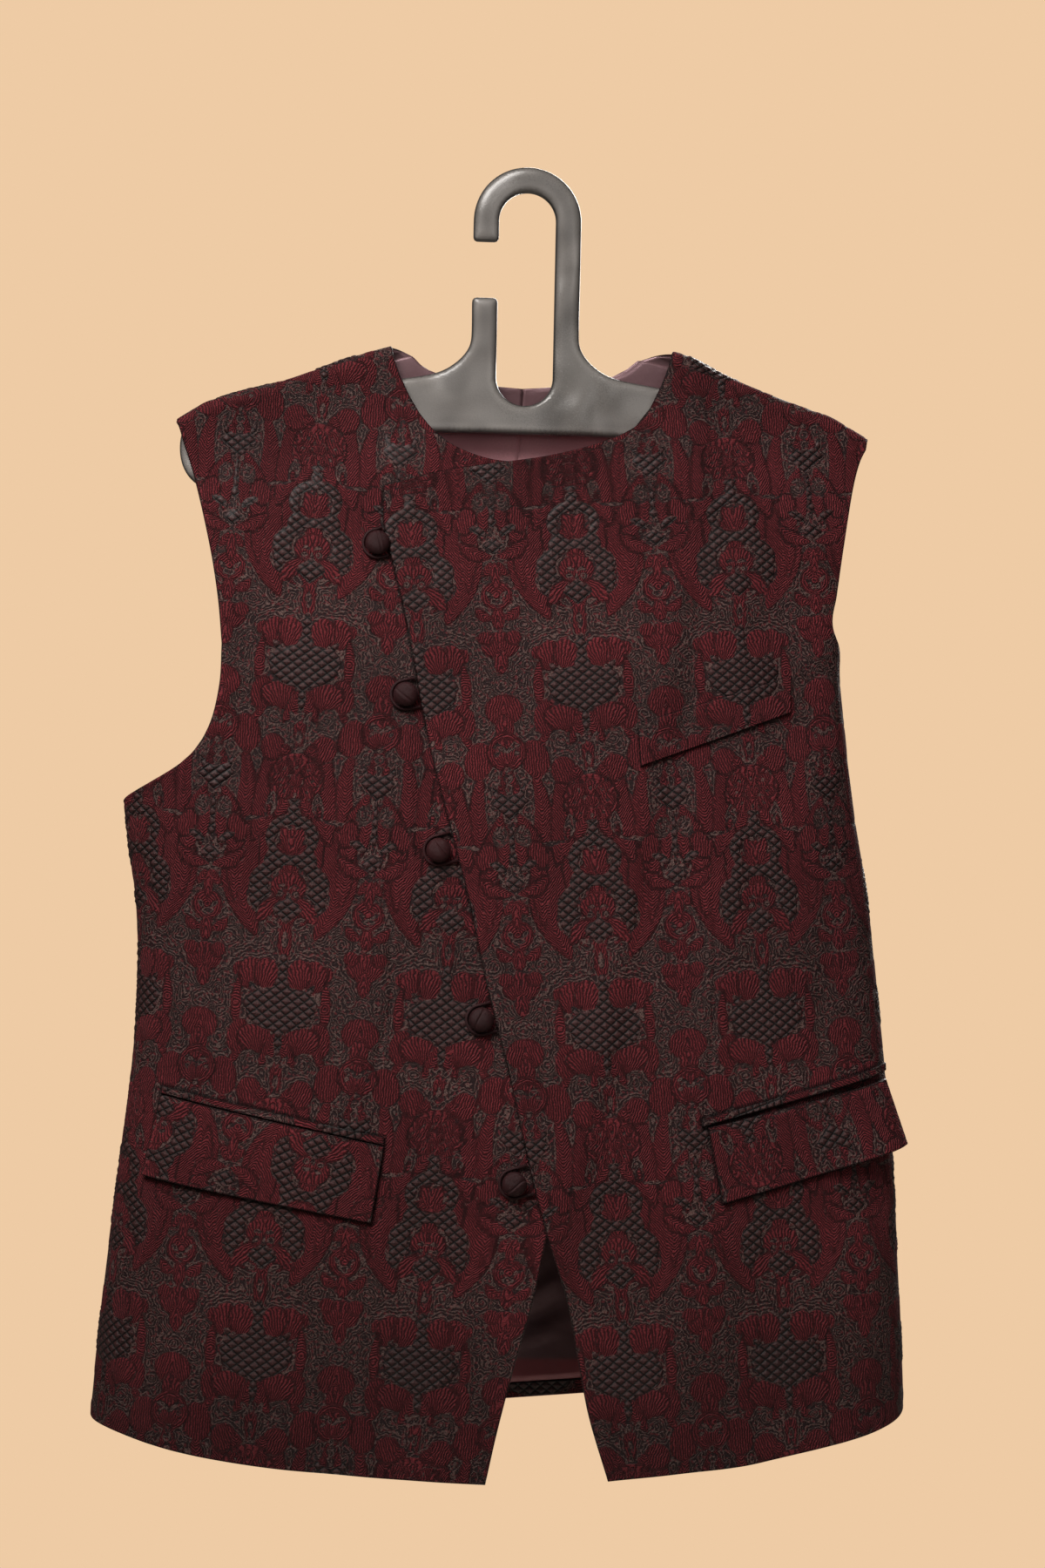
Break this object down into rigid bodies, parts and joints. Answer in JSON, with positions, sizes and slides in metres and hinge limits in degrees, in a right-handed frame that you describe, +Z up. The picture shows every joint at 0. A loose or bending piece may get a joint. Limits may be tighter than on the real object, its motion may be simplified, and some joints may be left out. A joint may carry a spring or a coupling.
{
  "type": "vest on a hanger",
  "caption": "Sleeveless round-neck brocade waistcoat with a slanting buttoned front, a breast welt and flap pockets, hanging empty on a flat moulded hanger.",
  "frame": {"origin": "inside top of the hanger's hook, where it rests on what holds it up", "axes": "+Z up along the hook, +X across the front toward the wearer's left, -Y out of the front"},
  "size_m": [0.5114, 0.1209, 0.8185],
  "materials": {
    "brocade": "damask brocade of wine and black, quilted in places",
    "lining": "plum satin",
    "loop_cord": "cut from the wine cloth",
    "hanger_plastic": "satin dark grey"
  },
  "bodies": {
    "root": {"front_right": "brocade", "front_left": "brocade", "back_right": "brocade", "back_left": "brocade", "turned_hem_right": "brocade", "turned_hem_left": "brocade", "lining_right": "lining", "lining_left": "lining", "jet_right": "brocade", "jet_left": "brocade", "flap_right": "brocade", "flap_left": "brocade", "breast_welt": "brocade", "button_1": "brocade", "button_2": "brocade", "button_3": "brocade", "button_4": "brocade", "button_5": "brocade", "loop_1": "loop_cord", "loop_2": "loop_cord", "loop_3": "loop_cord", "loop_4": "loop_cord", "loop_5": "loop_cord", "hanger": "hanger_plastic"}
  },
  "joints": []
}
